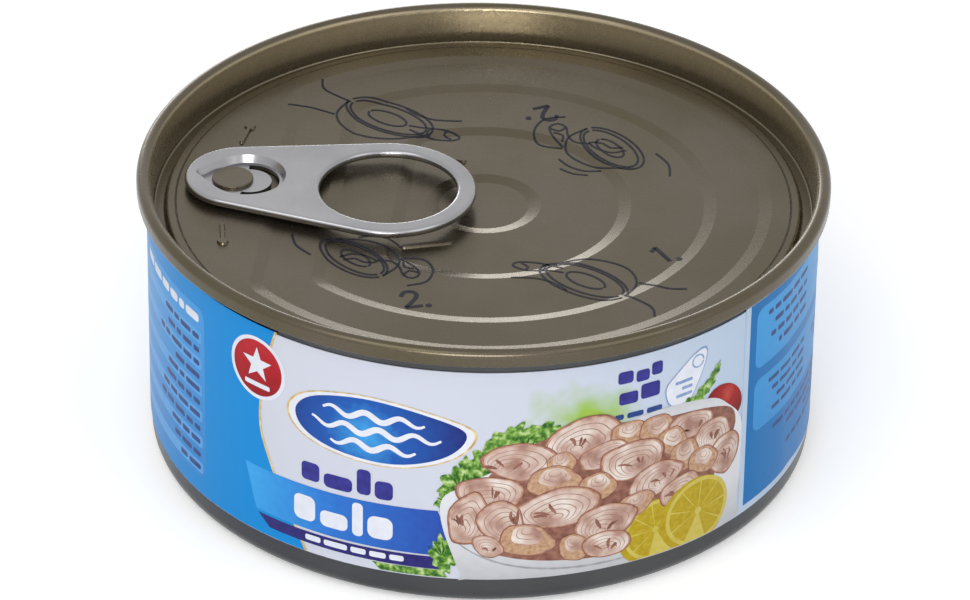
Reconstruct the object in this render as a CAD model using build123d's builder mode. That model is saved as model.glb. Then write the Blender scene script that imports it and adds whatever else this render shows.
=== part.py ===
"""Shut tuna can with an easy-open lid.

A shallow drawn can, closed by a lid that is seamed on round its rim. The lid's panel lies deep inside
the rim, steps down towards the middle in four terraces, three of them D-shaped, and carries a ring
pull on a rivet. A paper label runs round the wall and overlaps itself once. Shut and full, the can is
solid inside.

Frame: millimetres, +Z up, the origin at the middle of the base, where the can stands. -Y is the front
of the label. The rivet and the nose of the pull are near -X.
"""
import os
from math import atan2, cos, degrees, hypot, radians, sin

from build123d import *

# Can body
can_height = 37.3            # stand to the top of the seam
body_radius = 41.85          # bare wall
base_corner_radius = 2.3
base_stand_width = 2.15      # stand, inwards from the corner
base_stand_inner = body_radius - base_corner_radius - base_stand_width
base_recess = 1.0            # underside panel above the stand
base_recess_run = 0.9        # run of the slope from the stand up to that panel
base_bead_insets = (10.85, 21.85)     # in from the wall
base_bead_radii = tuple(body_radius - inset for inset in base_bead_insets)
base_bead_width = 1.6
base_bead_height = 0.35

# Double seam
seam_overhang = 1.35         # beyond the bare wall
seam_radius = body_radius + seam_overhang
seam_thickness = 1.7
seam_height = 2.15
seam_hem_radius = 0.3        # rolled lower edge

# Lid panel
sheet = 0.3                  # lid thickness
panel_depth = 4.3            # seam top down to the outer panel
panel_inset = 2.3            # outer edge of the panel, in from the wall
panel_radius = body_radius - panel_inset
panel_wall_run = 0.25        # run of the wall from the panel down to the countersink
countersink_depth = 0.9      # below the outer panel
chuck_foot_inset = 0.7       # where the chuck wall meets the countersink, in from the wall
chuck_foot_radius = body_radius - chuck_foot_inset
bend_radii = (0.35, 0.2, 0.3)      # panel shoulder, and the two corners of the countersink
tab_azimuth = 175.7          # direction of the rivet from the middle
rivet_inset = 8.05           # in from the edge of the panel
rivet_distance = panel_radius - rivet_inset   # from the middle of the lid
terrace_inset = 3.55          # outermost step, in from the edge of the panel
terrace_spacing = (36.0, 29.1, 18.5, 7.2)    # edges in proportion, spread over the panel
terrace_outer_radii = tuple((panel_radius - terrace_inset) * edge / terrace_spacing[0] for edge in terrace_spacing)
terrace_drops = (0.25, 0.30, 0.35, 0.30)
terrace_run = 1.6            # run of each sloped step
terrace_rivet_gap = 4.9       # rivet to the first flat side
terrace_flat_spacing = (26.6, 19.4, 11.0)    # flat sides in proportion, spread from the rivet to the middle
terrace_flats = tuple(
    (rivet_distance - terrace_rivet_gap) * flat / terrace_flat_spacing[0] for flat in terrace_flat_spacing
) + (None,)                    # the innermost is a full round
terrace_corner = 3.2
score_inset = 1.15           # in from the edge of the panel
score_radius = panel_radius - score_inset
score_width = 0.25
score_depth = 0.12

# Raised beads in the lid, measured along and across the line from the middle to the rivet
bead_height = 0.3
bead_taper = 25.0
guide_bead_insets = ((7.6, 8.5), (2.2, 6.9))    # from the flat and from the edge of the step they stand in
guide_bead_ends = tuple(                     # beside the end of the pull
    (terrace_flats[2] - along, terrace_outer_radii[2] - across) for along, across in guide_bead_insets
)
guide_bead_width = 0.9
guide_bead_terrace = 3       # steps down to the floor that these stand on
key_bead_ends = ((rivet_distance + 0.1, 10.2), (rivet_distance - 0.5, 14.2))       # beside the rivet, out to the round head
key_bead_width = 0.7
key_head_radius = 0.75

# Rivet
rivet_pad_radius = 3.3
rivet_pad_height = 0.15
rivet_stem_radius = 1.5
rivet_head_radius = 2.6
rivet_head_height = 0.4
rivet_head_edge = 0.15

# Ring pull
tab_turn = -7.5              # direction of the pull, from its nose to its ring
tab_gap = 0.4                # hem above the outer panel
tab_thickness = 1.1
tab_plate = 0.5              # plate between the hems
tongue_plate = 0.45
nose_radius = 7.0
nose_centre = 1.0            # along the pull from the rivet
ring_radius = 11.0
ring_centre = 19.7
finger_hole_radius = 8.6
hem_width = 2.0
hem_round = 0.48
dish_nose_radius = 1.0       # the dish round the rivet narrows towards the nose
dish_nose_centre = -3.6
dish_radius = 4.9
dish_centre = 1.8
dish_wall = 0.45
dish_wall_run = 0.5
slot_centre = 2.1            # curved slot that frees the tongue
slot_inner_radius = 2.8
slot_outer_radius = 3.8
slot_half_angle = 100.0
stem_clearance = 0.1

# Label
label_bottom = 4.05
label_top_gap = 1.45         # bare wall between the label and the seam
label_top = can_height - seam_height - label_top_gap
label_thickness = 0.12
glue_line = 0.02
overlap_angle = 49.5         # the free edge, round from the front towards +X
overlap_arc = 14.0           # degrees of doubled paper
overlap_taper = 4.0          # degrees over which the covered end dies away
overlap_bottom_rise = 1.0    # the outer end was glued on a little higher
overlap_top_rise = 0.35

os.makedirs("parts", exist_ok=True)

panel_z = can_height - panel_depth
panel_underside_z = panel_z - sheet
countersink_z = panel_z - countersink_depth
seam_bottom_z = can_height - seam_height
seam_shoulder_z = can_height - seam_thickness / 2
seam_inner_radius = seam_radius - seam_thickness
chuck_lean = (seam_inner_radius - chuck_foot_radius) / (seam_shoulder_z - countersink_z)
chuck_back_top = chuck_foot_radius + sheet + chuck_lean * (seam_bottom_z - countersink_z)
lid_axis = Plane(origin=(0, 0, panel_z), x_dir=(cos(radians(tab_azimuth)), sin(radians(tab_azimuth)), 0))

rivet_x = rivet_distance * cos(radians(tab_azimuth))
rivet_y = rivet_distance * sin(radians(tab_azimuth))
tongue_z = panel_z + rivet_pad_height
rivet_head_z = tongue_z + tongue_plate + rivet_head_height
tab_underside_z = panel_z + tab_gap
tab_plane = Plane(
    origin=(rivet_x, rivet_y, tab_underside_z),
    x_dir=(cos(radians(tab_turn)), sin(radians(tab_turn)), 0),
)
label_radius = body_radius + glue_line + label_thickness

# The underside of the lid, from the seam in to the middle. The filled body follows it.
lid_underside = (
    (chuck_back_top, seam_bottom_z),
    (chuck_foot_radius + sheet, countersink_z - sheet),
    (panel_radius + panel_wall_run - sheet, countersink_z - sheet),
    (panel_radius - sheet, panel_underside_z),
    (0, panel_underside_z),
)


def terrace_outline(radius, flat):
    """Draws a full round, or a round with one rounded flat side that faces the rivet."""
    Circle(radius)
    if flat is None:
        return
    turn = tab_azimuth - 180
    with Locations((-flat * cos(radians(turn)), -flat * sin(radians(turn)))):
        Rectangle(3 * radius, 3 * radius, turn, (Align.MIN, Align.CENTER), Mode.INTERSECT)
    fillet(vertices().sort_by(Axis.X)[:2], terrace_corner)


def terraces(below, mode):
    """Lofts every step, from its upper edge down its slope, the given distance under the panel's face."""
    top = panel_z - below
    for radius, drop, flat in zip(terrace_outer_radii, terrace_drops, terrace_flats):
        with BuildSketch(Plane.XY.offset(top)) as upper:
            terrace_outline(radius, flat)
        top -= drop
        with BuildSketch(Plane.XY.offset(top)) as lower:
            terrace_outline(radius - terrace_run, flat and flat - terrace_run)
        loft([upper.sketch, lower.sketch], ruled=True, mode=mode)


def bead_outline(ends, width, side):
    """Draws a straight bead with round ends between two points of the lid's tab axis frame."""
    (along_a, across_a), (along_b, across_b) = ends
    run, rise = along_b - along_a, side * (across_b - across_a)
    with Locations(((along_a + along_b) / 2, side * (across_a + across_b) / 2)):
        SlotCenterToCenter(hypot(run, rise), width, degrees(atan2(rise, run)))


def dish_outline(margin):
    """Draws the dish round the rivet, with its outline moved out by the given margin."""
    with BuildLine(mode=Mode.PRIVATE) as rounds:
        CenterArc((dish_nose_centre, 0), dish_nose_radius + margin, 0, 360)
        CenterArc((dish_centre, 0), dish_radius + margin, 0, 360)
    make_hull(rounds.edges())


# Body: the drawn can and all that fills it, up to the underside of the lid.
with BuildPart() as can_body:
    with BuildSketch(Plane.XZ):
        with BuildLine():
            Polyline(
                (0, panel_underside_z),
                (0, base_recess),
                (base_stand_inner - base_recess_run, base_recess),
                (base_stand_inner, 0),
                (body_radius - base_corner_radius, 0),
            )
            RadiusArc(
                (body_radius - base_corner_radius, 0),
                (body_radius, base_corner_radius),
                -base_corner_radius,
            )
            Polyline((body_radius, base_corner_radius), (body_radius, seam_bottom_z), *lid_underside)
        make_face()
    revolve(axis=Axis.Z)
    terraces(sheet, Mode.SUBTRACT)
    for radius in base_bead_radii:
        with BuildSketch(Plane.XZ):
            with Locations((radius, base_recess)):
                Ellipse(base_bead_width / 2, base_bead_height)
        revolve(axis=Axis.Z, mode=Mode.SUBTRACT)

# Lid: seam, chuck wall, countersink, stepped panel and rivet, drawn from one sheet.
with BuildPart() as lid:
    with BuildSketch(Plane.XZ):
        with BuildLine():
            FilletPolyline(
                (0, panel_z),
                (panel_radius, panel_z),
                (panel_radius + panel_wall_run, countersink_z),
                (chuck_foot_radius, countersink_z),
                (seam_inner_radius, seam_shoulder_z),
                radius=bend_radii,
            )
            ThreePointArc(
                (seam_inner_radius, seam_shoulder_z),
                (seam_radius - seam_thickness / 2, can_height),
                (seam_radius, seam_shoulder_z),
            )
            FilletPolyline(
                (seam_radius, seam_shoulder_z),
                (seam_radius, seam_bottom_z),
                (chuck_back_top, seam_bottom_z),
                radius=seam_hem_radius,
            )
            Polyline(*lid_underside, (0, panel_z))
        make_face()
    revolve(axis=Axis.Z)
    terraces(sheet, Mode.ADD)
    terraces(0, Mode.SUBTRACT)
    # Score line, a V groove just inside the edge of the panel
    with BuildSketch(Plane.XZ):
        with BuildLine():
            Polyline(
                (score_radius - score_width / 2, panel_z),
                (score_radius + score_width / 2, panel_z),
                (score_radius, panel_z - score_depth),
                close=True,
            )
        make_face()
    revolve(axis=Axis.Z, mode=Mode.SUBTRACT)
    # Raised beads, in pairs either side of the pull
    with BuildSketch(lid_axis.offset(-sum(terrace_drops[:guide_bead_terrace]))):
        for side in (1, -1):
            bead_outline(guide_bead_ends, guide_bead_width, side)
    extrude(amount=bead_height, taper=bead_taper)
    with BuildSketch(lid_axis):
        for side in (1, -1):
            bead_outline(key_bead_ends, key_bead_width, side)
            with Locations((key_bead_ends[1][0], side * key_bead_ends[1][1])):
                Circle(key_head_radius)
    extrude(amount=bead_height, taper=bead_taper)
    # Rivet: a low pad that the pull sits on, its stem and its flattened head
    with BuildSketch(lid_axis):
        with Locations((rivet_distance, 0)):
            Circle(rivet_pad_radius)
    extrude(amount=rivet_pad_height)
    with BuildSketch(Plane.XY.offset(tongue_z)):
        with Locations((rivet_x, rivet_y)):
            Circle(rivet_stem_radius)
    extrude(amount=tongue_plate)
    with BuildSketch(Plane.XY.offset(tongue_z + tongue_plate)):
        with Locations((rivet_x, rivet_y)):
            Circle(rivet_head_radius)
    extrude(amount=rivet_head_height)
    head_top = faces().filter_by(lambda f: abs(f.center().Z - rivet_head_z) < 1e-3 and f.area < 30)
    fillet(head_top.edges(), rivet_head_edge)

# Ring pull: a plate with rolled hems, a finger hole, and a tongue cut free round the rivet.
with BuildPart() as pull_tab:
    with BuildSketch(tab_plane):
        with BuildLine(mode=Mode.PRIVATE) as rounds:
            CenterArc((nose_centre, 0), nose_radius, 0, 360)
            CenterArc((ring_centre, 0), ring_radius, 0, 360)
        make_hull(rounds.edges())
        with Locations((ring_centre, 0)):
            Circle(finger_hole_radius, mode=Mode.SUBTRACT)
    extrude(amount=tab_thickness)
    rims = faces().filter_by(Axis.Z).edges()
    fillet(rims, hem_round)
    # Hollow between the hems, under the plate
    with BuildSketch(tab_plane):
        with BuildLine(mode=Mode.PRIVATE) as rounds:
            CenterArc((nose_centre, 0), nose_radius - hem_width, 0, 360)
            CenterArc((ring_centre, 0), ring_radius - hem_width, 0, 360)
        make_hull(rounds.edges())
        with Locations((ring_centre, 0)):
            Circle(finger_hole_radius + hem_width, mode=Mode.SUBTRACT)
    extrude(amount=tab_thickness - tab_plate, mode=Mode.SUBTRACT)
    # Dish pressed down to the rivet's pad, with the tongue as its floor
    with BuildSketch(tab_plane.offset(tongue_z - tab_underside_z)):
        dish_outline(dish_wall - dish_wall_run)
    with BuildSketch(tab_plane.offset(tab_thickness - tab_plate / 2)):
        dish_outline(dish_wall)
    loft(ruled=True)
    with BuildSketch(tab_plane.offset(tongue_z + tongue_plate - tab_underside_z)):
        dish_outline(-dish_wall_run)
    with BuildSketch(tab_plane.offset(tab_thickness)):
        dish_outline(0)
    loft(ruled=True, mode=Mode.SUBTRACT)
    # Curved slot and the hole for the rivet's stem
    with BuildSketch(tab_plane.offset(tab_thickness)):
        with BuildLine():
            outer = CenterArc((slot_centre, 0), slot_outer_radius, -slot_half_angle, 2 * slot_half_angle)
            inner = CenterArc((slot_centre, 0), slot_inner_radius, -slot_half_angle, 2 * slot_half_angle)
            Line(outer @ 0, inner @ 0)
            Line(outer @ 1, inner @ 1)
        make_face()
        Circle(rivet_stem_radius + stem_clearance)
    extrude(amount=-2 * tab_thickness, mode=Mode.SUBTRACT)

# Label: one turn of paper, and a doubled stretch where its free end lies over its other end.
with BuildPart() as label:
    with BuildSketch(Plane.XY.offset(label_bottom)):
        Circle(label_radius)
        Circle(body_radius + glue_line, mode=Mode.SUBTRACT)
    extrude(amount=label_top - label_bottom)
    with BuildSketch(Plane.XY.offset(label_bottom + overlap_bottom_rise)):
        with BuildLine():
            start = overlap_angle - 90
            under = CenterArc((0, 0), label_radius, start, overlap_arc + overlap_taper)
            over = CenterArc((0, 0), label_radius + label_thickness, start, overlap_arc)
            Line(under @ 0, over @ 0)
            Line(under @ 1, over @ 1)
        make_face()
    extrude(amount=label_top + overlap_top_rise - label_bottom - overlap_bottom_rise)

can_body.part.label = "can_body"
lid.part.label = "lid"
pull_tab.part.label = "pull_tab"
label.part.label = "label"

export_step(can_body.part, "parts/can_body.step")
export_step(lid.part, "parts/lid.step")
export_step(pull_tab.part, "parts/pull_tab.step")
export_step(label.part, "parts/label.step")
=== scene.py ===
"""Looks of a shut tuna can: gold-lacquered lid, ring pull, bare steel body and a printed paper label.

Metres, in the CAD frame: +Z up, -Y the front of the label, the rivet and nose of the pull towards -X.
"""
import random
from math import atan2, cos, hypot, pi, radians, sin

import bmesh
import bpy
from mathutils import Matrix, Vector
from mathutils.bvhtree import BVHTree


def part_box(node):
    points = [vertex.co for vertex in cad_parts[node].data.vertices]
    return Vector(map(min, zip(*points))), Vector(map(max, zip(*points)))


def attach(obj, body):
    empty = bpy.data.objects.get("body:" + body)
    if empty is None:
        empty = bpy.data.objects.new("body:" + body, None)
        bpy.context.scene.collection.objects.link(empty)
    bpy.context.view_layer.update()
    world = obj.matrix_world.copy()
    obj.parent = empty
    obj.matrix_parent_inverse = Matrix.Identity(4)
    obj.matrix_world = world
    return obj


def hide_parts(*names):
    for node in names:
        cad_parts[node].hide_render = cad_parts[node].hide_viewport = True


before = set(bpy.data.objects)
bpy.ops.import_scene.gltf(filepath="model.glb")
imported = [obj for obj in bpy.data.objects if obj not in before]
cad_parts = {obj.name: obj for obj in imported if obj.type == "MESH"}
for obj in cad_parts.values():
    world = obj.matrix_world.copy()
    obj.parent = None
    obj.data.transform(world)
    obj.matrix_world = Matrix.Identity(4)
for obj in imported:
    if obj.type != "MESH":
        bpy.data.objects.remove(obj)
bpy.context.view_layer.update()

MM = 0.001

# Sizes read from the frame, in millimetres
LID_HIGH = [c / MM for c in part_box("lid")[1]]
LABEL_LOW, LABEL_HIGH = [[c / MM for c in corner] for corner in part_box("label")]
BODY_HIGH = [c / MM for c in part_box("can_body")[1]]
CAN_HEIGHT = LID_HIGH[2]
LABEL_RADIUS = BODY_HIGH[0] + 0.14


# ---------------------------------------------------------------- materials

def linear(hex_colour):
    """Turns an sRGB hex value into linear RGBA."""
    values = [int(hex_colour[i:i + 2], 16) / 255 for i in (0, 2, 4)]
    return tuple(v / 12.92 if v <= 0.04045 else ((v + 0.055) / 1.055) ** 2.4 for v in values) + (1.0,)


def add(tree, kind, links=None, **settings):
    """Adds a node, sets its properties and input values, and links its inputs to other nodes' outputs."""
    made = tree.nodes.new("ShaderNode" + kind)
    for key, value in settings.items():
        if hasattr(made, key):
            setattr(made, key, value)
        else:
            made.inputs[key.replace("_", " ")].default_value = value
    for key, output in (links or {}).items():
        tree.links.new(output, made.inputs[key])
    return made


def start_material(name):
    """Gives an empty material with its output, and Object coordinates."""
    material = bpy.data.materials.new(name)
    material.use_nodes = True
    tree = material.node_tree
    tree.nodes.clear()
    return material, tree, add(tree, "OutputMaterial"), add(tree, "TexCoord").outputs["Object"]


def colour_ramp(tree, factor, *stops):
    """Adds a ramp through (position, hex) stops and returns its colour."""
    ramp = add(tree, "ValToRGB", {"Fac": factor})
    elements = ramp.color_ramp.elements
    while len(elements) < len(stops):
        elements.new(0.5)
    for element, (position, colour) in zip(elements, stops):
        element.position = position
        element.color = linear(colour)
    return ramp.outputs["Color"]


def span(tree, value, low, high, to_low, to_high):
    """Maps a value from one range to another, clamped."""
    links = {"Value": value}
    mapped = add(tree, "MapRange", links)
    for key, number in (("From Min", low), ("From Max", high), ("To Min", to_low), ("To Max", to_high)):
        mapped.inputs[key].default_value = number
    return mapped.outputs["Result"]


def metal(name, light, dark, roughness, grain, grain_size, bump, metallic=1.0, painted_wall_sheen=None):
    """A metal whose tone wanders between two colours, with a fine grain.

    The wall tone is a paler colour painted on the wall inside the rim: a painted reflection, for light that
    the lamps don't give there."""
    material, tree, output, place = start_material(name)
    cloud = add(tree, "TexNoise", {"Vector": place}, Scale=1 / (14 * MM), Detail=3.0)
    colour = colour_ramp(tree, cloud.outputs["Fac"], (0.35, dark), (0.65, light))
    # Paler tone on the wall inside the rim, picked out by radius: a painted reflection.
    if painted_wall_sheen:
        flat_place = add(tree, "VectorMath", {"Vector": place}, operation="MULTIPLY")
        flat_place.inputs[1].default_value = (1, 1, 0)
        reach = add(tree, "VectorMath", {"Vector": flat_place.outputs[0]}, operation="LENGTH")
        reach = reach.outputs["Value"]
        inside = span(tree, reach, WALL_FOOT * MM, (WALL_FOOT + 0.5) * MM, 0, 1)
        outside = span(tree, reach, (WALL_TOP - 0.3) * MM, WALL_TOP * MM, 1, 0)
        share = add(tree, "Math", operation="MULTIPLY")
        tree.links.new(inside, share.inputs[0])
        tree.links.new(outside, share.inputs[1])
        mixed = add(tree, "Mix", data_type="RGBA")
        tree.links.new(share.outputs[0], mixed.inputs[0])
        tree.links.new(colour, mixed.inputs[6])
        mixed.inputs[7].default_value = linear(painted_wall_sheen)
        colour = mixed.outputs[2]
    fine = add(tree, "TexNoise", {"Vector": place}, Scale=1 / (grain_size * MM), Detail=2.0)
    rough = span(tree, fine.outputs["Fac"], 0.3, 0.7, roughness - grain, roughness + grain)
    relief = add(tree, "Bump", {"Height": fine.outputs["Fac"]}, Strength=bump, Distance=0.02 * MM)
    links = {"Base Color": colour, "Roughness": rough, "Normal": relief.outputs["Normal"]}
    surface = add(tree, "BsdfPrincipled", links, Metallic=metallic)
    tree.links.new(surface.outputs["BSDF"], output.inputs["Surface"])
    return material


# Between these radii the lacquer takes a paler tone: a painted reflection on the wall inside the rim.
WALL_FOOT, WALL_TOP = 41.0, 41.75    # radii of the wall inside the rim
# Gold-brown epoxy lacquer stoved on tinplate: dark, smooth and a little soft in its reflections. Its paler
# tone on the wall inside the rim is a painted reflection.
lacquer = metal(
    "gold_lacquered_tinplate", "5E564A", "585140", 0.27, 0.015, 0.9, 0.012, metallic=0.85, painted_wall_sheen="B3A587",
)
# Bare rolled tinplate: grey, with a fine drawn grain.
tinplate = metal("bare_tinplate", "505153", "47484A", 0.33, 0.03, 0.6, 0.03)
# Tumbled steel of the pull: brighter and satin.
satin_steel = metal("satin_steel_pull", "A0A0A2", "929295", 0.24, 0.03, 0.6, 0.03)


# Offset inks: flat and a little soft, each uneven enough in tone to read as print and not as paint.
# Coated paper under them: a soft satin white, whose glow and cast are part of the print.
PRINT_ROUGHNESS, PRINT_SPECULAR = 0.36, 0.15
GLOW_CENTRE, GLOW_CLOUD = (13.0, 26.6), 4.0


def print_place(tree):
    """The place on the unrolled label or lid, in millimetres."""
    return add(tree, "UVMap", uv_map="print").outputs["UV"]


def ink(
    name, stops, low=0.0, high=1.0, along="noise", turn=0.0, centre=(0, 0), mottle=0.12, grain=1.2,
    rough=PRINT_ROUGHNESS,
):
    """A printed colour that runs through stops along a direction, round a centre, or at random.

    low and high are where the stops begin and end, and mottle is a fine unevenness."""
    material, tree, output, _ = start_material(name)
    place = print_place(tree)
    speck = add(tree, "TexNoise", {"Vector": place}, Scale=1 / grain, Detail=2.0).outputs["Fac"]
    if along == "noise":
        value = span(tree, speck, 0.32, 0.68, 0, 1)
    else:
        moved = add(tree, "Mapping", {"Vector": place}, vector_type="TEXTURE")
        moved.inputs["Location"].default_value = (centre[0], centre[1], 0)
        moved.inputs["Rotation"].default_value = (0, 0, radians(turn))
        if along == "radius":
            length = add(tree, "VectorMath", {"Vector": moved.outputs[0]}, operation="LENGTH")
            raw = length.outputs["Value"]
        else:
            raw = add(tree, "SeparateXYZ", {"Vector": moved.outputs[0]}).outputs["X"]
        even = span(tree, raw, low, high, 0, 1)
        shift = span(tree, speck, 0.3, 0.7, -mottle, mottle)
        total = add(tree, "Math", operation="ADD")
        tree.links.new(even, total.inputs[0])
        tree.links.new(shift, total.inputs[1])
        value = total.outputs[0]
    colour = colour_ramp(tree, value, *stops)
    surface = add(tree, "BsdfPrincipled", {"Base Color": colour}, Roughness=rough)
    surface.inputs["Specular IOR Level"].default_value = PRINT_SPECULAR
    tree.links.new(surface.outputs["BSDF"], output.inputs["Surface"])
    return material


def paper_material():
    """Coated paper with the print's pale grounds: a blue cast to the right and a soft green glow."""
    material, tree, output, _ = start_material("coated_paper")
    place = print_place(tree)
    across = add(tree, "SeparateXYZ", {"Vector": place})
    share = span(tree, across.outputs["X"], -25, 37, 0, 1)
    cast = colour_ramp(tree, share, (0, "C7CAD6"), (0.5, "C2C7D5"), (1, "B2C4D9"))
    moved = add(tree, "Mapping", {"Vector": place}, vector_type="TEXTURE")
    moved.inputs["Location"].default_value = GLOW_CENTRE + (0,)
    moved.inputs["Scale"].default_value = (1.35, 1.0, 1.0)
    length = add(tree, "VectorMath", {"Vector": moved.outputs[0]}, operation="LENGTH").outputs["Value"]
    cloud = add(tree, "TexNoise", {"Vector": place}, Scale=1 / GLOW_CLOUD, Detail=2.0).outputs["Fac"]
    spread = add(tree, "Math", operation="ADD")
    tree.links.new(length, spread.inputs[0])
    tree.links.new(span(tree, cloud, 0.3, 0.7, -1.5, 1.5), spread.inputs[1])
    glow = span(tree, spread.outputs[0], 0.5, 5.4, 0.95, 0.0)
    mixed = add(tree, "Mix", data_type="RGBA")
    tree.links.new(glow, mixed.inputs[0])
    tree.links.new(cast, mixed.inputs[6])
    mixed.inputs[7].default_value = linear("8FB433")
    surface = add(tree, "BsdfPrincipled", {"Base Color": mixed.outputs[2]}, Roughness=PRINT_ROUGHNESS)
    surface.inputs["Specular IOR Level"].default_value = PRINT_SPECULAR
    tree.links.new(surface.outputs["BSDF"], output.inputs["Surface"])
    return material


paper = paper_material()


# ---------------------------------------------------------------- pieces

def finish_piece(name, mesh, material, body="root"):
    """Turns a finished mesh into a named piece that rides on the can."""
    piece = bpy.data.objects.new(name, mesh)
    bpy.context.scene.collection.objects.link(piece)
    mesh.materials.clear()
    mesh.materials.append(material)
    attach(piece, body)
    return piece


def unrolled(shape):
    """Lays a sleeve's print coordinates out in millimetres, and its bake coordinates in the unit square."""
    place_uv = shape.loops.layers.uv.new("print")
    bake_uv = shape.loops.layers.uv.new("OFBake")
    for face in shape.faces:
        middle = face.calc_center_median()
        home = (atan2(middle.y, middle.x) + pi / 2 + pi) % (2 * pi) - pi
        for loop in face.loops:
            place = loop.vert.co
            angle = (atan2(place.y, place.x) + pi / 2 - home + pi) % (2 * pi) - pi + home
            s, z = angle * LABEL_RADIUS, place.z / MM
            loop[place_uv].uv = (s, z)
            loop[bake_uv].uv = (0.5 + s / (2.1 * pi * LABEL_RADIUS), z / CAN_HEIGHT)


FLAT_LIMIT = 0.99999


def smooth_copy(node, name, material, wrapped=False, sharp_angle=35.0):
    """A merged, smooth-shaded copy of a CAD node, standing for it."""
    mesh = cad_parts[node].data.copy()
    shape = bmesh.new()
    shape.from_mesh(mesh)
    bmesh.ops.remove_doubles(shape, verts=shape.verts, dist=1e-7)
    if wrapped:
        unrolled(shape)
    for face in shape.faces:
        face.smooth = True
    for edge in shape.edges:
        flat = [abs(face.normal.z) > FLAT_LIMIT for face in edge.link_faces]
        bend = edge.calc_face_angle(0.0)
        edge.smooth = bend < radians(sharp_angle) and not (any(flat) and not all(flat))
    shape.to_mesh(mesh)
    shape.free()
    piece = finish_piece(name, mesh, material)
    weighted = piece.modifiers.new("weighted_normals", "WEIGHTED_NORMAL")
    weighted.keep_sharp = True
    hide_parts(node)
    return piece


smooth_copy("can_body", "steel_body", tinplate)
smooth_copy("lid", "lacquered_lid", lacquer)
smooth_copy("pull_tab", "ring_pull", satin_steel)
smooth_copy("label", "paper_label", paper, wrapped=True)


# ---------------------------------------------------------------- flat shapes, in millimetres

def flow(points, closed=True, step=0.6):
    """A smooth line through points."""
    count = len(points)
    line = []
    for i in range(count if closed else count - 1):
        near = [j % count if closed else min(max(j, 0), count - 1) for j in range(i - 1, i + 3)]
        pick = [Vector(points[j]) for j in near]
        pieces = max(2, int((pick[2] - pick[1]).length / step))
        for k in range(pieces):
            t = k / pieces
            line.append(0.5 * (
                2 * pick[1] + (pick[2] - pick[0]) * t
                + (2 * pick[0] - 5 * pick[1] + 4 * pick[2] - pick[3]) * t * t
                + (3 * pick[1] - pick[0] - 3 * pick[2] + pick[3]) * t ** 3
            ))
    return line if closed else line + [Vector(points[-1])]


def oval(centre, a, b, tilt=0.0, start=0.0, sweep=360.0, count=48):
    """An oval, or an arc of one."""
    turned = Matrix.Rotation(radians(tilt), 2)
    steps = count if sweep >= 360 else count + 1
    angles = [radians(start + sweep * i / count) for i in range(steps)]
    return [Vector(centre) + turned @ Vector((a * cos(t), b * sin(t))) for t in angles]


def card(low, high, radius, lean=0.0):
    """A box with rounded corners, sheared by lean."""
    line = []
    corners = ((high[0], high[1], 0), (low[0], high[1], 90), (low[0], low[1], 180), (high[0], low[1], 270))
    for x, y, start in corners:
        centre = (x + (radius if x == low[0] else -radius), y + (radius if y == low[1] else -radius))
        line += oval(centre, radius, radius, start=start, sweep=90, count=6)
    return [Vector((p.x + lean * (p.y - low[1]), p.y)) for p in line]


def ribbon(line, width, taper=False):
    """A band of one width along an open line, or one that thins towards its ends."""
    left, right = [], []
    last = len(line) - 1
    for i, point in enumerate(line):
        way = (line[min(i + 1, last)] - line[max(i - 1, 0)]).normalized()
        half = width / 2 * (sin(pi * (0.12 + 0.76 * i / last)) if taper else 1)
        side = Vector((-way.y, way.x)) * half
        left.append(point + side)
        right.append(point - side)
    return right + left[::-1]


def printed(name, shapes, material, layer, height=None):
    """Thin ink, or a thin sheet of painted shade, in the given closed lines, on the label, or on the surface
    that height gives.

    A shape is a line, or a line with its own extra layer where shapes of one ink overlap."""
    shape_mesh = bmesh.new()
    for number, entry in enumerate(shapes):
        line, extra = entry if isinstance(entry, tuple) else (entry, 0)
        part = bmesh.new()
        part.faces.new([part.verts.new((p.x, p.y, 0)) for p in line])
        bmesh.ops.recalc_face_normals(part, faces=part.faces)
        if part.faces[:][0].normal.z < 0:
            bmesh.ops.reverse_faces(part, faces=part.faces)
        bmesh.ops.triangulate(part, faces=part.faces)
        for axis, pitch in ((0, PITCH), (1, 60.0 if height is None else PITCH)):
            low = min(v.co[axis] for v in part.verts)
            high = max(v.co[axis] for v in part.verts)
            for k in range(int(low // pitch) + 1, int(high // pitch) + 1):
                at, normal = Vector((0, 0, 0)), Vector((0, 0, 0))
                at[axis], normal[axis] = k * pitch, 1
                geometry = part.verts[:] + part.edges[:] + part.faces[:]
                bmesh.ops.bisect_plane(part, geom=geometry, dist=1e-5, plane_co=at, plane_no=normal)
        for vert in part.verts:
            vert.co.z = (layer + extra) * LAYER
        whole = bpy.data.meshes.new("part")
        part.to_mesh(whole)
        part.free()
        shape_mesh.from_mesh(whole)
        bpy.data.meshes.remove(whole)
    place_uv = shape_mesh.loops.layers.uv.new("print")
    bake_uv = shape_mesh.loops.layers.uv.new("OFBake")
    low = [min(v.co[i] for v in shape_mesh.verts) for i in (0, 1)]
    size = [max(v.co[i] for v in shape_mesh.verts) - low[i] for i in (0, 1)]
    for face in shape_mesh.faces:
        for loop in face.loops:
            loop[place_uv].uv = loop.vert.co.xy
            loop[bake_uv].uv = [0.01 + 0.98 * (loop.vert.co[i] - low[i]) / size[i] for i in (0, 1)]
    for vert in shape_mesh.verts:
        s, z, proud = vert.co
        if height is None:
            vert.co = on_sleeve(s, z, proud) * MM
        else:
            vert.co = Vector((s, z, height(s, z) + INK_LIFT + proud)) * MM
    mesh = bpy.data.meshes.new(name)
    shape_mesh.to_mesh(mesh)
    shape_mesh.free()
    mesh.shade_smooth()
    return finish_piece(name, mesh, material)


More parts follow.
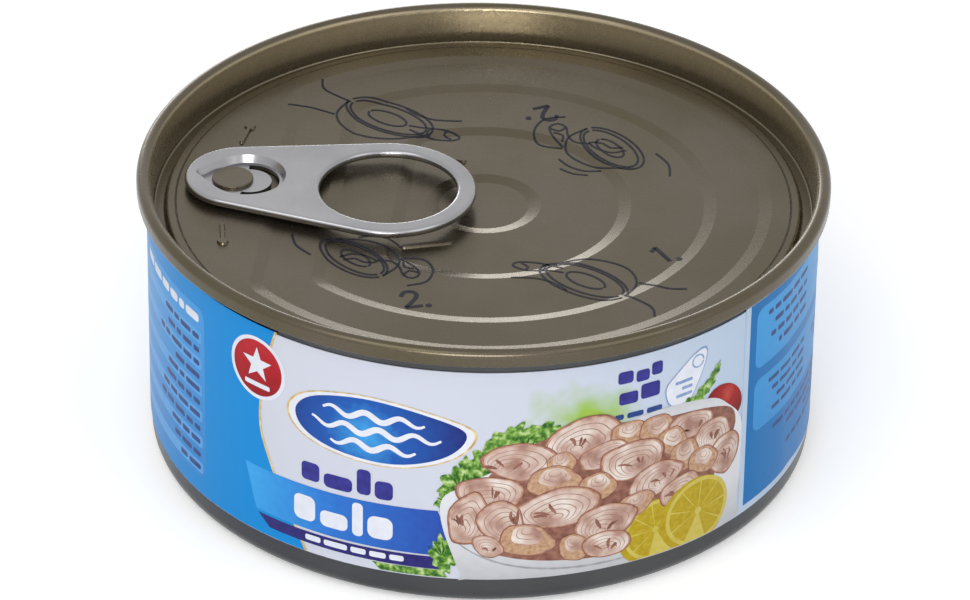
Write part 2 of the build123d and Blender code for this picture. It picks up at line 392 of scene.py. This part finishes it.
def facet_corner(step):
    """A corner of the many-sided sleeve that the print lies on, with its direction outwards. Millimetres."""
    if step not in facet_corners:
        angle = step * PITCH / LABEL_RADIUS - pi / 2
        out = Vector((cos(angle), sin(angle), 0))
        middle = Vector((0, 0, (LABEL_LOW[2] + LABEL_HIGH[2]) / 2)) * MM
        start = out * 60 * MM + middle
        hit = label_tree.ray_cast(start, -out)[0] or label_tree.find_nearest(start)[0]
        facet_corners[step] = (out * (hypot(hit.x, hit.y) / MM), out)
    return facet_corners[step]


def on_sleeve(s, z, proud):
    """The place on the sleeve at a length along the wrap, a height, and a lift off the paper. Millimetres."""
    step = int(s // PITCH)
    share = s / PITCH - step
    (low, low_out), (high, high_out) = facet_corner(step), facet_corner(step + 1)
    low, high = low + low_out * (INK_LIFT + proud), high + high_out * (INK_LIFT + proud)
    return low.lerp(high, share) + Vector((0, 0, z))


def surface_tree(node):
    """A search tree of one CAD node's faces."""
    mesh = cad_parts[node].data
    corners = [v.co.copy() for v in mesh.vertices]
    return BVHTree.FromPolygons(corners, [tuple(p.vertices) for p in mesh.polygons])


label_tree = surface_tree("label")
LAYER = 0.004
PITCH = 1.5
INK_LIFT = 0.025
facet_corners = {}
TOP_Z, BOTTOM_Z = LABEL_HIGH[2] - 0.05, LABEL_LOW[2] + 0.05
rng = random.Random(7)


def bars(rows, left, right, thick, gap, ragged, split=0.0, lean=0.0):
    """Rows of short bars that stand for lines of small print. rows is (top, count)."""
    top, count = rows
    made = []
    for row in range(count):
        z = top - row * gap
        end = left + (right - left) * rng.uniform(0, ragged)
        s = right
        while s - 0.8 > end:
            word = min(rng.uniform(1.2, 3.4), s - end)
            if word > 0.5:
                made.append(card((s - word, z - thick), (s, z), thick * 0.35, lean))
            s -= word + 0.45 + split
    return made


# Blue ground that goes all round the back, bounded by an arc on the left and the overlap on the right
half_turn = pi * LABEL_RADIUS
arc = flow([(-26.2, TOP_Z), (-27.5, 29.6), (-28.8, 21), (-27.0, 14.6), (-21.9, BOTTOM_Z)], closed=False)
right_edge = [Vector((36.95, TOP_Z + 0.1)), Vector((36.3, 5.15)), Vector((49, 5.15)), Vector((60, BOTTOM_Z))]
left_ground = [Vector((-half_turn, BOTTOM_Z)), Vector((-half_turn, TOP_Z))]
blue = ink("blue_print", ((0, "0080C8"), (1, "0084CC")), -110, -30, along="X", mottle=0.02)
printed("blue_ground_left", [left_ground[::-1] + arc[::-1]], blue, 0)
right_blue = ink(
    "deep_blue_print", ((0, "0069AB"), (0.25, "0073B8"), (1, "0080C8")), 36, 110, along="X", mottle=0.02,
)
printed(
    "blue_ground_right",
    [[Vector((half_turn, TOP_Z)), Vector((36.95, TOP_Z))] + right_edge[1:] + [Vector((half_turn, BOTTOM_Z))]],
    right_blue, 0,
)
gold = ink("gold_line_print", ((0, "B99A5B"), (1, "E0CB95")))
printed("gold_line", [ribbon(arc, 0.35)], gold, 2)

# Panel of rows on the left
panel_top, panel_low, panel_right, panel_left, row_step = 31.1, 6.4, -39.0, -76.0, 1.9
pale_panel = ink("panel_print", ((0, "2780C6"), (1, "3F94D6")), panel_low, panel_top, along="X", turn=90)
printed("table_panel", [card((panel_left, panel_low), (panel_right, panel_top), 1.5)], pale_panel, 2)
row_ink = ink("row_print", ((0, "4B98D8"), (1, "58A2DE")))
row_tops = [panel_top - 3.4 - i * row_step for i in range(11)]
rows = [card((panel_left + 0.8, z - row_step + 0.25), (panel_right - 0.7, z), 0.3) for z in row_tops[::2]]
printed("table_rows", rows, row_ink, 3)
dark_ink = ink("navy_print", ((0, "22366F"), (1, "2B4684")))
small = [shape for z in row_tops for shape in bars((z - 0.5, 1), -52.0, -40.2, 0.75, 1.0, 0.6)]
small += [shape for z in row_tops for shape in bars((z - 0.5, 1), -74.0, -66.0, 0.75, 1.0, 0.5)]
printed("table_words", small, dark_ink, 4)
white_ink = ink("white_print", ((0, "D3D7E2"), (1, "DBDEE7")))
printed("table_heading", bars((panel_top - 1.0, 1), -58, -40.2, 1.2, 1.0, 0.0), white_ink, 4)

# Round red badge with a plain star
red_ink = ink(
    "red_print", ((0, "8A0C16"), (0.55, "A4121E"), (1, "B2222C")), -4, 4, along="X", turn=90,
    centre=(-29.2, 27.8),
)
badge = Vector((-29.2, 27.8))
printed("badge_rim", [oval(badge, 4.35, 4.35)], white_ink, 5)
printed("badge", [oval(badge, 3.85, 3.85)], red_ink, 6)
star = []
for k in range(10):
    point = Vector((0, 2.4 if k % 2 == 0 else 1.0)) @ Matrix.Rotation(radians(36 * k), 2)
    star.append(badge + Vector((0, 0.5)) + point)
printed("badge_star", [star, card((-31.2, 25.1), (-27.2, 25.75), 0.2)], white_ink, 7)

# Generic crest: a blue shield with waves
crest = Vector((-12.4, 24.1))
crest_line = flow([
    (-24.0, 24.6), (-21.0, 27.3), (-14, 28.6), (-6.5, 27.6), (-0.9, 25.2),
    (-3.2, 21.6), (-10, 19.5), (-18, 19.9), (-22.8, 21.7),
])


def scaled(line, factor, centre=crest):
    """A line made larger or smaller about a place."""
    return [centre + (p - centre) * factor for p in line]


printed("crest_edge", [scaled(crest_line, 1.05)], gold, 4)
printed("crest_white", [scaled(crest_line, 1.02)], white_ink, 5)
deep = ink(
    "crest_blue_print", ((0, "3E9BDC"), (0.4, "1D55A8"), (1, "1C2C74")), 0, 12, along="radius",
    centre=(-14, 23), mottle=0.05,
)
printed("crest", [scaled(crest_line, 0.94)], deep, 6)
waves = []
for start, (z, low, high) in enumerate(((25.9, -19.5, -6), (23.8, -21, -4.2), (21.7, -18.5, -7))):
    count = int((high - low) / 0.35)
    line = [Vector((low + 0.35 * k, z + 0.5 * sin(k * 0.5 + start * 1.7))) for k in range(count)]
    waves.append(ribbon(line, 0.85, taper=True))
printed("crest_waves", waves, white_ink, 7)

# Words as plain bars, a blue band, a dark stripe and a green strip
purple = ink("purple_print", ((0, "2B2A78"), (1, "39388C")))
word = [
    card((-22.5, 14.6), (-20.0, 17.2), 0.6), card((-19.4, 14.4), (-15.6, 16.4), 0.7),
    card((-15.0, 14.6), (-13.2, 18.2), 0.6), card((-12.7, 14.4), (-10.4, 17.0), 0.7),
]
printed("name_bars", word, purple, 4)
band_ink = ink(
    "band_print", ((0, "3A9FE0"), (0.45, "2A6FC4"), (1, "27459F")), -31, -3, along="X", mottle=0.04,
)
printed("band", [[Vector(p) for p in ((-31.3, 13.6), (-29.5, 7.4), (-2.0, 7.3), (-4.9, 13.8))]], band_ink, 4)
kind = [
    card((-23.6, 8.6), (-20.6, 12.2), 0.9), card((-19.9, 8.6), (-16.2, 10.9), 0.8),
    card((-15.6, 8.4), (-14.2, 13.2), 0.6), card((-13.6, 8.6), (-10.4, 11.8), 1.0),
]
printed("kind_bars", kind, white_ink, 5)
stripe_ink = ink("stripe_print", ((0, "242060"), (1, "2E2A74")))
stripe = [Vector(p) for p in ((-29.2, 7.0), (-27.4, 5.4), (-3.6, 5.3), (-5.2, 7.1))]
printed("stripe", [stripe], stripe_ink, 4)
printed("stripe_words", bars((6.65, 1), -22, -9, 0.8, 1, 0.0), white_ink, 5)
leaf_ink = ink("leaf_print", ((0, "2B521E"), (0.35, "4F7F2E"), (0.7, "86AA54"), (1, "B9CC93")), grain=0.8)
green_strip = [Vector(p) for p in ((-13, 5.2), (-12, 4.2), (-3.6, 4.2), (-4.4, 5.25))]
printed("green_strip", [green_strip], leaf_ink, 3)


def frill(centre, a, b, tilt, lobes, deep_lobes=0.16):
    """A leaf with a frilled edge."""
    turned = Matrix.Rotation(radians(tilt), 2)
    line = []
    for k in range(lobes * 6):
        t = 2 * pi * k / (lobes * 6)
        reach = 1 + deep_lobes * sin(t * lobes) + deep_lobes * 0.6 * sin(t * (lobes // 2) + centre[0])
        reach += rng.uniform(-0.05, 0.05)
        line.append(Vector(centre) + turned @ Vector((a * reach * cos(t), b * reach * sin(t))))
    return line


leaves = [
    (frill((7.4, 24.6), 3.2, 1.6, 5, 11), 0), (frill((3.6, 24.2), 3.0, 1.7, 30, 11), 0.3),
    (frill((-2.2, 17.6), 4.2, 2.2, 62, 13), 0), (frill((1.2, 20.6), 4.4, 2.6, 42, 13), 0.6),
    (frill((5.4, 23.0), 4.6, 2.6, 25, 13), 1.2), (frill((-3.0, 14.6), 1.8, 2.6, 10, 9), 1.8),
    (frill((-4.2, 7.4), 1.5, 2.6, 8, 9), 2.4),
]
printed("lettuce", leaves, leaf_ink, 8)
dark_leaf = ink("dark_leaf_print", ((0, "1E4419"), (1, "3F7A2A")), grain=0.7)
veins = []
for s, z, tilt in ((-2.4, 17.4, 62), (1.0, 20.4, 45), (5.0, 22.6, 28), (-3.2, 14.4, 80), (-4.3, 7.2, 80)):
    for k in range(5):
        way = radians(tilt + (k - 2) * 26)
        start = Vector((s, z)) + Vector((cos(way), sin(way))) * 0.2
        middle = start + Vector((cos(way), sin(way)))
        tip = start + Vector((cos(way + 0.2), sin(way + 0.2))) * 2.0
        veins.append((ribbon([start, middle, tip], 0.32, taper=True), k * 0.1))
printed("leaf_veins", veins, dark_leaf, 11)

# Bowl, its shade and the heap of tuna
bowl_line = flow([
    (-4.5, 15.2), (-4.2, 11.2), (-1.9, BOTTOM_Z + 0.4), (-1.2, BOTTOM_Z + 0.05),
    (14, BOTTOM_Z + 0.02), (34.6, BOTTOM_Z + 0.1), (35.9, 6.4), (36.3, 12), (36.2, 18.2),
    (33.6, 21.8), (29.7, 24.2), (20, 25.0), (4.0, 20.6), (-2.5, 17.2),
])
china = ink(
    "china_print", ((0, "B2B4B8"), (0.3, "CDCFD4"), (0.75, "D6D8DC"), (1, "C0C2C8")), 4, 25,
    along="X", turn=90, mottle=0.03,
)
printed("bowl", [bowl_line], china, 12)
shade_ink = ink("china_shade_print", ((0, "8F8C90"), (1, "A5A4A9")))
rim_line = flow([(-3.6, 12.8), (-2.4, 9.4), (2.4, 6.6), (9.4, 5.2), (18, 5.0), (24, 5.6)], closed=False)
printed("bowl_rim_shade", [ribbon(rim_line, 0.3, taper=True)], shade_ink, 13)
bed_line = flow([
    (-3.2, 13.8), (-1.6, 9.9), (3, 7.5), (10, 6.3), (18, 6.1), (27, 8.0), (34.0, 16.0),
    (34.6, 20.5), (30, 22.8), (22, 24.0), (12, 25.2), (4, 22), (0, 17.5),
])
bed_ink = ink("tuna_shadow_print", ((0, "744B40"), (1, "96695B")), grain=1.0)
printed("tuna_bed", [bed_line], bed_ink, 14)
skin_ink = ink("tuna_skin_print", ((0, "92675A"), (0.5, "B08877"), (1, "C29A72")), grain=0.8)
flesh_ink = ink(
    "tuna_flesh_print", ((0, "9C776A"), (0.35, "BB9D90"), (0.7, "CDBAB0"), (1, "DCD2CA")), grain=3.2,
)
line_ink = ink("tuna_line_print", ((0, "8C6D62"), (1, "A98E83")), grain=0.7)
side_ink = ink("tuna_side_print", ((0, "A17B5F"), (0.5, "B38F72"), (1, "C09F80")), grain=0.5)


def cut_corners(points, share=0.2, passes=2):
    """A closed line with its corners cut, so that its sides stay straight."""
    for _ in range(passes):
        pairs = list(zip(points, points[1:] + points[:1]))
        points = [p for a, b in pairs for p in (a.lerp(b, share), a.lerp(b, 1 - share))]
    return points


# Chunks from the back of the bowl to the front: centre, half sizes, tilt, and 1 for a block with a side
CHUNKS = (
    (12.8, 23.5, 4.3, 2.6, 8, 0), (18.6, 22.9, 2.5, 1.8, -5, 1), (22.6, 22.4, 2.6, 2.1, -10, 1),
    (27.6, 21.4, 3.3, 1.9, -15, 0), (4.8, 21.0, 4.4, 2.4, -2, 0), (9.8, 20.4, 2.0, 1.9, 0, 1),
    (15.6, 20.7, 3.4, 1.7, 12, 0), (24.8, 19.9, 2.2, 2.1, -15, 1), (31.0, 18.6, 3.2, 2.3, -14, 0),
    (9.2, 18.0, 3.4, 2.3, -4, 1), (18.8, 18.9, 4.1, 2.5, 5, 0), (26.6, 17.2, 2.3, 2.3, -10, 1),
    (33.2, 14.9, 2.4, 2.7, -28, 0), (1.6, 16.8, 3.9, 2.3, 5, 0), (14.8, 16.2, 2.8, 2.2, 0, 1),
    (22.3, 15.4, 3.7, 2.1, 10, 0), (29.6, 15.2, 2.5, 2.1, -6, 1), (26.0, 12.6, 3.0, 1.7, 12, 0),
    (9.6, 14.0, 5.0, 2.8, 5, 0), (-1.0, 12.8, 2.3, 3.6, -10, 0), (2.9, 12.4, 2.6, 3.1, 32, 0),
    (19.8, 12.4, 2.7, 1.8, 10, 1), (15.8, 10.8, 4.2, 2.5, 5, 0), (6.0, 9.8, 3.5, 2.6, -8, 1),
    (11.6, 8.0, 2.4, 2.0, 6, 1), (15.8, 7.6, 3.2, 1.9, -6, 0), (1.2, 9.0, 1.8, 1.3, -30, 0),
)
skin, flesh, lines, side, gaps = [], [], [], [], []
for rank, (s, z, a, b, tilt, block) in enumerate(CHUNKS):
    lift = rank * 0.7
    turned = Matrix.Rotation(radians(tilt), 2)
    corners = 5 if block else 8
    reach = [1.1 + rng.uniform(-0.16, 0.14) for _ in range(corners)]
    turns = [2 * pi * (k + rng.uniform(-0.2, 0.2)) / corners for k in range(corners)]
    ways = [turned @ Vector((a * j * cos(t), b * j * sin(t))) for j, t in zip(reach, turns)]
    outline = cut_corners([Vector((s, z)) + way for way in ways])
    gaps.append((scaled(outline, 1.06, Vector((s, z + 0.1))), lift))
    skin.append((outline, lift + 0.05))
    if block:
        side.append((scaled(outline, 0.94, Vector((s, z))), lift + 0.1))
        focus = Vector((s, z + b * 0.62))
        field = scaled(outline, 0.6, focus)
    else:
        focus = Vector((s, z)) + turned @ Vector((a * rng.uniform(-0.45, 0.45), -b * 0.5))
        field = scaled(outline, 0.94, Vector((s, z - 0.25)))
    flesh.append((field, lift + 0.15))
    for ring in range(2 if block else 5):
        share = (0.7, 0.4)[ring] if block else (0.84, 0.67, 0.5, 0.33, 0.18)[ring]
        lines.append((scaled(field, share, focus), lift + 0.2 + ring * 0.1))
        flesh.append((scaled(field, share - (0.05 if block else 0.03), focus), lift + 0.25 + ring * 0.1))
    if not block:
        for _ in range(3):
            way = radians(rng.uniform(20, 160))
            start = focus + Vector((a * 0.25 * cos(way), b * 0.25 * sin(way)))
            far_s, far_z = a * rng.uniform(0.55, 0.8), b * rng.uniform(0.6, 0.95)
            end = focus + Vector((far_s * cos(way + 0.3), far_z * sin(way + 0.3)))
            middle = (start + end) / 2 + Vector((rng.uniform(-0.3, 0.3), 0.2))
            slit = flow([start, middle, end], closed=False, step=0.3)
            gaps.append((ribbon(slit, rng.uniform(0.25, 0.5), taper=True), lift + 0.68))
printed("tuna_gaps", gaps, bed_ink, 15)
printed("tuna_skin", skin, skin_ink, 15)
printed("tuna_sides", side, side_ink, 15)
printed("tuna_flesh", flesh, flesh_ink, 15)
printed("tuna_lines", lines, line_ink, 15)

# Lemon slices
zest_ink = ink("lemon_zest_print", ((0, "A58C10"), (1, "B39D20")), grain=0.9)
pith_ink = ink("lemon_pith_print", ((0, "BCAC48"), (1, "C6B85E")))
pulp_ink = ink("lemon_pulp_print", ((0, "A58E14"), (0.5, "AD971E"), (1, "B5A02A")), grain=0.7)


def above(line):
    """A line held over the label's lower edge."""
    return [Vector((p.x, max(p.y, BOTTOM_Z + 0.1))) for p in line]


zest, pith, pulp = [], [], []
for rank, (s, z, r, tilt) in enumerate(((22.6, 7.9, 4.5, 20), (29.0, 8.3, 5.1, 5))):
    centre, lift = Vector((s, z)), rank * 2
    zest.append((above(oval(centre + Vector((-0.5, -0.1)), r * 1.04, r * 1.0, tilt)), lift))
    pith.append((above(oval(centre, r * 0.97, r * 0.93, tilt)), lift + 0.2))
    for k in range(9):
        start, sweep = 40 * k + 1.5, 37
        outer = oval(centre, r * 0.86, r * 0.82, tilt, start=start, sweep=sweep, count=8)
        inner = oval(centre, r * 0.1, r * 0.1, tilt, start=start, sweep=sweep, count=8)
        if max(p.y for p in outer) > BOTTOM_Z + 0.6:
            pulp.append((above(outer + inner[::-1]), lift + 0.4))
printed("lemon_zest", zest, zest_ink, 26)
printed("lemon_pith", pith, pith_ink, 26)
printed("lemon_pulp", pulp, pulp_ink, 26)

# Tomato and sprig behind the bowl
tomato_ink = ink(
    "tomato_print", ((0, "BC4A3C"), (0.35, "981A1A"), (1, "6C0E10")), 0, 4, along="radius",
    centre=(33.4, 23.4), mottle=0.06,
)
printed("tomato", [oval((32.9, 22.2), 3.5, 2.6, -38)], tomato_ink, 10)
sprig = [
    (frill((29.0, 25.3), 2.2, 0.9, 35, 9), 0), (frill((30.9, 27.2), 1.7, 0.55, 55, 9), 0.3),
    (frill((27.0, 24.5), 1.8, 0.8, 10, 9), 0.5),
]
printed("sprig", sprig, leaf_ink, 11)

# Small word block, its dark line, and the pull icon
block = [
    card((16.9, 30.2), (18.9, 31.9), 0.4), card((19.3, 30.0), (21.1, 31.6), 0.4),
    card((21.4, 30.4), (22.9, 32.2), 0.4), card((17.1, 27.2), (19.6, 28.9), 0.4),
    card((20.0, 27.4), (22.6, 29.5), 0.4),
]
printed("block_bars", block, purple, 5)
printed("block_line", bars((25.9, 1), 16.6, 23, 0.75, 1, 0.0), dark_ink, 5)
ICON_TILT = 52
axis = Vector((cos(radians(ICON_TILT)), sin(radians(ICON_TILT))))
icon_at, icon_turn = Vector((25.6, 26.9)), Matrix.Rotation(radians(ICON_TILT - 90), 2)
icon_points = (
    (-2.1, -0.6), (0, -2.1), (2.1, -0.6), (2.0, 1.5), (1.1, 4.8), (0, 6.0), (-1.1, 4.8), (-2.0, 1.5),
)
body_line = flow([icon_at + icon_turn @ Vector(p) for p in icon_points])
grey_ink = ink("icon_edge_print", ((0, "6F8CB8"), (1, "8CA4C8")))
printed("icon_edge", [scaled(body_line, 1.06, Vector((26.4, 28)))], grey_ink, 6)
printed("icon_face", [body_line], white_ink, 7)
ring = ribbon(oval(icon_at + axis * 4.2, 0.85, 0.85, sweep=350), 0.22)
printed("icon_marks", [ring] + bars((28.3, 3), 24.6, 27.4, 0.45, 0.95, 0.2), grey_ink, 8)

# Boxes and lines on the right
box_ink = ink("box_print", ((0, "2F8ACB"), (1, "3C97D6")), 15, 33, along="X", turn=90)
printed("right_boxes", [card((38.5, 24.2), (74, 32.8), 1.3), card((38.5, 15.1), (74, 22.6), 1.3)], box_ink, 2)
right_words = bars((31.7, 4), 56, 71, 0.7, 1.75, 0.5) + bars((31.7, 4), 40.2, 53, 0.7, 1.75, 0.3)
right_words += bars((21.5, 4), 40.2, 53, 0.6, 1.5, 0.4) + bars((21.5, 4), 56, 71, 0.6, 1.5, 0.4)
printed("right_words", right_words + bars((14.0, 4), 41, 71, 0.6, 1.5, 0.5), dark_ink, 4)


# ---------------------------------------------------------------- seam, ink and painted score shade on the lid

SCORE_RADIUS, SCORE_WIDTH = 38.4, 0.2
panel_tree = surface_tree("lid")


def seam_skin():
    """The lacquered roll of the seam as one smooth turned skin, just proud of the CAD lid's."""
    shape = bmesh.new()
    middle = Vector((SEAM_MIDDLE_RADIUS, 0, SEAM_MIDDLE_Z))
    points = []
    for step in range(SEAM_STEPS + 1):
        angle = radians(SEAM_START + (SEAM_END - SEAM_START) * step / SEAM_STEPS)
        way = Vector((cos(angle), 0, sin(angle)))
        hit = panel_tree.ray_cast((middle + way * 3) * MM, -way)[0]
        points.append(shape.verts.new(hit + way * SKIN_LIFT * MM))
    edges = [shape.edges.new(pair) for pair in zip(points, points[1:])]
    bmesh.ops.spin(
        shape, geom=points + edges, cent=(0, 0, 0), axis=(0, 0, 1), angle=2 * pi, steps=360, use_merge=True,
    )
    bmesh.ops.remove_doubles(shape, verts=shape.verts, dist=1e-7)
    bmesh.ops.recalc_face_normals(shape, faces=shape.faces)
    top = max(shape.faces, key=lambda face: face.calc_center_median().z)
    if top.normal.z < 0:
        bmesh.ops.reverse_faces(shape, faces=shape.faces)
    mesh = bpy.data.meshes.new("seam_roll")
    shape.to_mesh(mesh)
    shape.free()
    mesh.shade_smooth()
    return finish_piece("seam_roll", mesh, lacquer)


SEAM_MIDDLE_RADIUS, SEAM_MIDDLE_Z = 42.35, 36.35
SEAM_START, SEAM_END, SEAM_STEPS, SKIN_LIFT = -80, 150, 44, 0.02
seam_skin()


def lid_height(x, y):
    """Height of the lid's upper side at a place, in millimetres."""
    hit = panel_tree.ray_cast(Vector((x, y, 60)) * MM, Vector((0, 0, -1)))[0]
    return hit.z / MM


def strokes(at, tilt, size, lines, width=0.3):
    """Ribbons along lines drawn about a place, turned and scaled."""
    turned = Matrix.Rotation(radians(tilt), 2)
    made = []
    for line in lines:
        points = [Vector(at) + turned @ (Vector(p) * size) for p in line]
        made.append(ribbon(flow(points, closed=False, step=0.5), width))
    return made


def loop_line(centre, a, b, tilt=0.0, start=0.0, sweep=350.0):
    """An oval as points for a stroke."""
    return tuple(tuple(p) for p in oval(centre, a, b, tilt, start, sweep, 20))


# A tilted can with its ring, and the hand that holds it, as simple pictograms
CAN_PICTURE = (
    loop_line((0, 0), 5.2, 2.7, -28), loop_line((0.1, 0.1), 4.6, 2.2, -28),
    loop_line((0.2, 0.1), 2.3, 1.1, -28),
    ((4.6, -2.4), (5.4, 0.4), (4.2, 3.0), (1.4, 4.2), (-1.6, 4.0), (-4.4, 2.6)),
)
LIFT_PICTURE = CAN_PICTURE + (
    ((-2.4, 2.0), (-4.4, 3.0), (-7.0, 3.0), (-7.6, 2.2), (-6.2, 1.5), (-3.6, 1.4), (-2.2, 1.2)),
    ((-6.8, 2.8), (-6.0, 2.2), (-6.2, 1.6)), ((-4.6, 2.9), (-4.2, 2.1), (-4.7, 1.5)),
    ((-7.4, -0.6), (-4.6, -0.4), (-2.6, -1.2), (-1.4, -2.2)),
    ((4.4, -2.2), (7.4, -4.2), (8.0, -6.0)), ((5.6, 0.6), (8.6, -0.4), (10.6, -0.2)),
)
PEEL_PICTURE = CAN_PICTURE + (
    ((-1.6, -0.4), (-0.4, 0.9), (1.6, 0.9), (2.8, 0.2), (1.4, -0.4), (0.2, 0.0), (-1.0, -0.8)),
    ((2.6, 0.4), (4.2, 1.0), (5.6, 0.2), (6.8, -1.4), (8.0, -1.6), (8.4, -0.4), (7.0, 1.2), (5.0, 2.4)),
    ((5.6, 1.6), (6.2, 0.4), (7.4, 0.4)), ((6.8, -1.2), (7.0, -0.2), (8.2, -0.2)),
    ((5.0, 2.6), (7.6, 3.2), (9.4, 1.4), (9.8, -1.6), (8.0, -3.4)), ((-4.8, -1.6), (-7.2, -0.2), (-8.6, 2.0)),
    ((-1.2, 4.6), (0.4, 5.6), (2.4, 5.6), (4.2, 4.8)), ((-0.4, 6.2), (1.2, 6.8), (3.0, 6.6)),
)
FIGURE_ONE = (((-0.9, 1.3), (0.2, 2.1)), ((0.2, 2.2), (0.2, -2.1)))
FIGURE_TWO = (
    ((-1.2, 1.1), (-0.5, 2.1), (0.7, 2.0), (1.1, 0.9), (0.1, -0.6), (-1.2, -1.9)),
    ((-1.3, -2.0), (1.3, -2.0)),
)
FIGURE_SIZE, FIGURE_WIDTH, DOT_RADIUS = 0.85, 0.55, 0.4
lid_ink = ink("lid_blue_print", ((0, "15151F"), (1, "20202E")), rough=0.45)
marks = strokes((-12.2, 20.4), 172, 1.25, LIFT_PICTURE) + strokes((16.2, 13.6), 150, 1.12, PEEL_PICTURE)
marks += strokes((12.4, -18.6), -8, 1.2, LIFT_PICTURE) + strokes((-15.8, -14.2), -20, 1.05, PEEL_PICTURE)
FIGURES = (
    ((7.9, 22.2), 205, FIGURE_TWO), ((22.0, -12.2), 30, FIGURE_ONE), ((-8.6, -23.6), 15, FIGURE_TWO),
)
for at, turn, figure in FIGURES:
    marks += strokes(at, turn, FIGURE_SIZE, figure, FIGURE_WIDTH)
for at in ((5.6, 20.9), (24.2, -13.2), (-6.4, -24.9)):
    marks.append(oval(at, DOT_RADIUS, DOT_RADIUS, count=12))
# A dark band along the score: painted shade, for the shade that falls in its groove.
score_shade_paint = ink("score_shade", ((0, "352F24"), (1, "423B2D")), rough=0.5)
STARTS = (0, 120, 240)
thirds = [oval((0, 0), SCORE_RADIUS, SCORE_RADIUS, start=start, sweep=120, count=90) for start in STARTS]
score = [ribbon(third, SCORE_WIDTH) for third in thirds]
printed("score_painted_shade", score, score_shade_paint, 1, height=lid_height)
printed("lid_drawings", marks, lid_ink, 2, height=lid_height)


# ---------------------------------------------------------------- stage, light and camera

def lamp(name, place, target, size, power):
    """A soft lamp of a width and height, aimed at a point. Millimetres and watts."""
    data = bpy.data.lights.new(name, "AREA")
    data.energy = power
    data.shape = "RECTANGLE"
    data.size, data.size_y = [side * MM for side in size]
    light = bpy.data.objects.new(name, data)
    spot = Vector(place) * MM
    light.location = spot
    light.rotation_mode = "QUATERNION"
    light.rotation_quaternion = (Vector(target) * MM - spot).to_track_quat("-Z", "Y")
    bpy.context.scene.collection.objects.link(light)
    return light


def seen_share(tree):
    """1 where the eye or a mirror image meets the surface, and 0 for the light that it gives."""
    path = add(tree, "LightPath")
    seen = add(tree, "Math", operation="MAXIMUM")
    tree.links.new(path.outputs["Is Camera Ray"], seen.inputs[0])
    tree.links.new(path.outputs["Is Glossy Ray"], seen.inputs[1])
    through = add(tree, "Math", operation="MAXIMUM")
    tree.links.new(seen.outputs[0], through.inputs[0])
    tree.links.new(path.outputs["Is Transmission Ray"], through.inputs[1])
    return through.outputs[0]


def white_world(light_level, seen_level):
    """A plain world: white where it is seen or mirrored, and a soft fill of light elsewhere."""
    world = bpy.data.worlds.new("studio")
    bpy.context.scene.world = world
    world.use_nodes = True
    tree = world.node_tree
    tree.nodes.clear()
    strength = span(tree, seen_share(tree), 0, 1, light_level, seen_level)
    background = add(tree, "Background", {"Strength": strength}, Color=(1, 1, 1, 1))
    output = add(tree, "OutputWorld")
    tree.links.new(background.outputs[0], output.inputs["Surface"])


# What the floor adds to its own white where it is seen or mirrored. It gives the can no light.
FLOOR_LIFT = 0.27


def floor():
    """A wide pale floor that looks white to the camera away from the can, and keeps its soft shadow."""
    shape = bmesh.new()
    bmesh.ops.create_grid(shape, x_segments=1, y_segments=1, size=3.0)
    mesh = bpy.data.meshes.new("floor")
    shape.to_mesh(mesh)
    shape.free()
    piece = bpy.data.objects.new("floor", mesh)
    bpy.context.scene.collection.objects.link(piece)
    material, tree, output, _ = start_material("pale_floor")
    surface = add(tree, "BsdfPrincipled", Base_Color=linear("FBFBFB"), Roughness=0.8)
    surface.inputs["Emission Color"].default_value = (1, 1, 1, 1)
    lift = span(tree, seen_share(tree), 0, 1, 0, FLOOR_LIFT)
    tree.links.new(lift, surface.inputs["Emission Strength"])
    tree.links.new(surface.outputs["BSDF"], output.inputs["Surface"])
    mesh.materials.append(material)


def camera(distance, elevation, roll, target, lens):
    """A long-lens camera in front of the can, looking down on it, a little rolled."""
    e, r = radians(elevation), radians(roll)
    back = Vector((0, -cos(e), sin(e)))
    right, up = Vector((1, 0, 0)), Vector((0, sin(e), cos(e)))
    across = cos(r) * right + sin(r) * up
    upward = cos(r) * up - sin(r) * right
    data = bpy.data.cameras.new("camera")
    data.lens = lens
    data.sensor_width = 36.0
    data.clip_start = 0.01
    made = bpy.data.objects.new("camera", data)
    turned = Matrix((across, upward, back)).transposed().to_4x4()
    made.matrix_world = Matrix.Translation((Vector(target) + back * distance) * MM) @ turned
    bpy.context.scene.collection.objects.link(made)
    bpy.context.scene.camera = made


bpy.context.scene.view_settings.view_transform = "Standard"
white_world(0.56, 1.0)
floor()
lamp("key", (-250, -350, 600), (0, 0, 20), (400, 400), 0.95)
lamp("fill", (350, -300, 450), (0, 0, 20), (350, 350), 0.45)
lamp("front", (-40, -560, 265), (0, 0, 33), (260, 110), 1.25)
lamp("back_strip", (-130, 600, 140), (0, 0, 33), (330, 140), 0.6)
camera(distance=706, elevation=31.8, roll=0.93, target=(0.4, 0, 17.9), lens=207.5)
